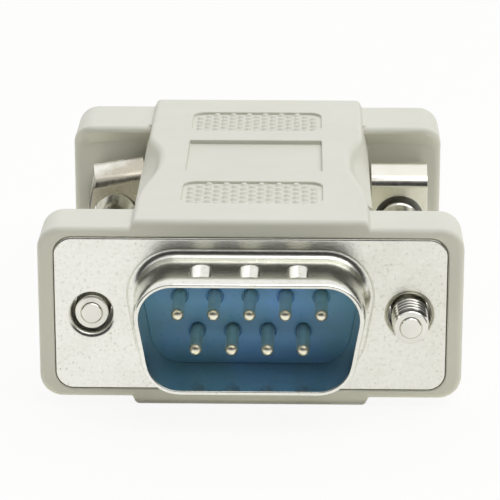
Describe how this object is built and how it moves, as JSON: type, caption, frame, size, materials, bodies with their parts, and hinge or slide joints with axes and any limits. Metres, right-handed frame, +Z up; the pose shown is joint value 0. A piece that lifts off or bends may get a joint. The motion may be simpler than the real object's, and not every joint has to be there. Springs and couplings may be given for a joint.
{
  "type": "d-sub connector",
  "caption": "Ivory moulded D-sub adapter with a pin plug at the front, a socket at the rear and floating jackscrews in open side pockets.",
  "frame": {"origin": "on the plane of the underside, in the middle of the width and of the whole length", "axes": "+Y from the pin plug at the front to the socket at the rear, along the screws; +X to the right seen from the front; +Z up, on the wide side of both D shells"},
  "size_m": [0.0334, 0.0502, 0.0154],
  "materials": {
    "ivory": "satin ivory, lightly textured",
    "inner_plastic": "natural, unpainted",
    "nickel": "bright nickel plating on drawn sheet",
    "insulator_blue": "semi-gloss blue moulding",
    "contact_gold": "thin gold plating",
    "wire_copper": "bare tinned copper",
    "ring_steel": "dark spring steel",
    "clip_nickel": "bright nickel plating",
    "screw_nickel": "bright nickel plating"
  },
  "bodies": {
    "connector": {"hood": "ivory", "inner_mould": "inner_plastic", "front_shell": "nickel", "front_back_shell": "nickel", "front_insulator": "insulator_blue", "rear_shell": "nickel", "rear_back_shell": "nickel", "rear_insulator": "insulator_blue", "male_pin_1": "contact_gold", "male_pin_2": "contact_gold", "male_pin_3": "contact_gold", "male_pin_4": "contact_gold", "male_pin_5": "contact_gold", "male_pin_6": "contact_gold", "male_pin_7": "contact_gold", "male_pin_8": "contact_gold", "male_pin_9": "contact_gold", "socket_contact_1": "contact_gold", "socket_contact_2": "contact_gold", "socket_contact_3": "contact_gold", "socket_contact_4": "contact_gold", "socket_contact_5": "contact_gold", "socket_contact_6": "contact_gold", "socket_contact_7": "contact_gold", "socket_contact_8": "contact_gold", "socket_contact_9": "contact_gold", "link_wire_1": "wire_copper", "link_wire_2": "wire_copper", "link_wire_3": "wire_copper", "link_wire_4": "wire_copper", "link_wire_5": "wire_copper", "link_wire_6": "wire_copper", "link_wire_7": "wire_copper", "link_wire_8": "wire_copper", "link_wire_9": "wire_copper", "clip_left": "clip_nickel", "clip_right": "clip_nickel"},
    "ring_left": {"snap_ring_left": "ring_steel"},
    "screw_left": {"jackscrew_left": "screw_nickel"},
    "ring_right": {"snap_ring_right": "ring_steel"},
    "screw_right": {"jackscrew_right": "screw_nickel"}
  },
  "joints": [
    {"name": "ring_left_slide", "type": "slide", "parent": "connector", "child": "ring_left", "axis": [0, -1, 0], "range_m": [0, 0.003]},
    {"name": "screw_left_turn", "type": "hinge", "parent": "ring_left", "child": "screw_left", "pos_m": [-0.01249, 0.0008, 0.0077], "axis": [0, -1, 0], "continuous": true},
    {"name": "ring_right_slide", "type": "slide", "parent": "connector", "child": "ring_right", "axis": [0, -1, 0], "range_m": [-0.003, 0]},
    {"name": "screw_right_turn", "type": "hinge", "parent": "ring_right", "child": "screw_right", "pos_m": [0.01249, 0.0008, 0.0077], "axis": [0, -1, 0], "continuous": true}
  ]
}
